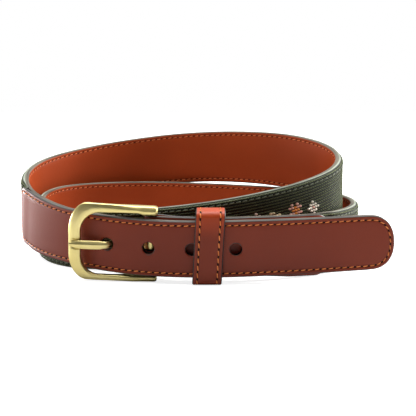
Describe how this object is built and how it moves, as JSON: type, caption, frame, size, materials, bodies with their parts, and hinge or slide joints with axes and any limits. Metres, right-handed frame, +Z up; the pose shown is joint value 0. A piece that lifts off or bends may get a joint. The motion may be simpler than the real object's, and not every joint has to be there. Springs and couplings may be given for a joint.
{
  "type": "needlepoint belt",
  "caption": "Fastened leather belt with a needlepoint outer band, tan lining, punched billet, keeper loop and brass prong buckle, coiled in two turns and standing on its edge.",
  "frame": {"origin": "centre of the bounding box's base, on the surface the belt stands on", "axes": "+X towards the billet tip, along the belt's longest extent; +Y away from the viewer, from the buckle to the back of the coil; +Z up, across the strap"},
  "size_m": [0.2228, 0.1554, 0.074],
  "materials": {
    "tab_leather": "polished burgundy-brown leather",
    "lining_leather": "smooth tan leather",
    "needlepoint": "dark green tent-stitch needlepoint",
    "brass": "satin"
  },
  "bodies": {
    "root": {"lining_strap": "lining_leather", "needlepoint_band": "needlepoint", "billet_leather": "tab_leather", "buckle_tab": "tab_leather", "keeper_loop": "tab_leather", "buckle_frame": "brass", "buckle_prong": "brass"}
  },
  "joints": []
}
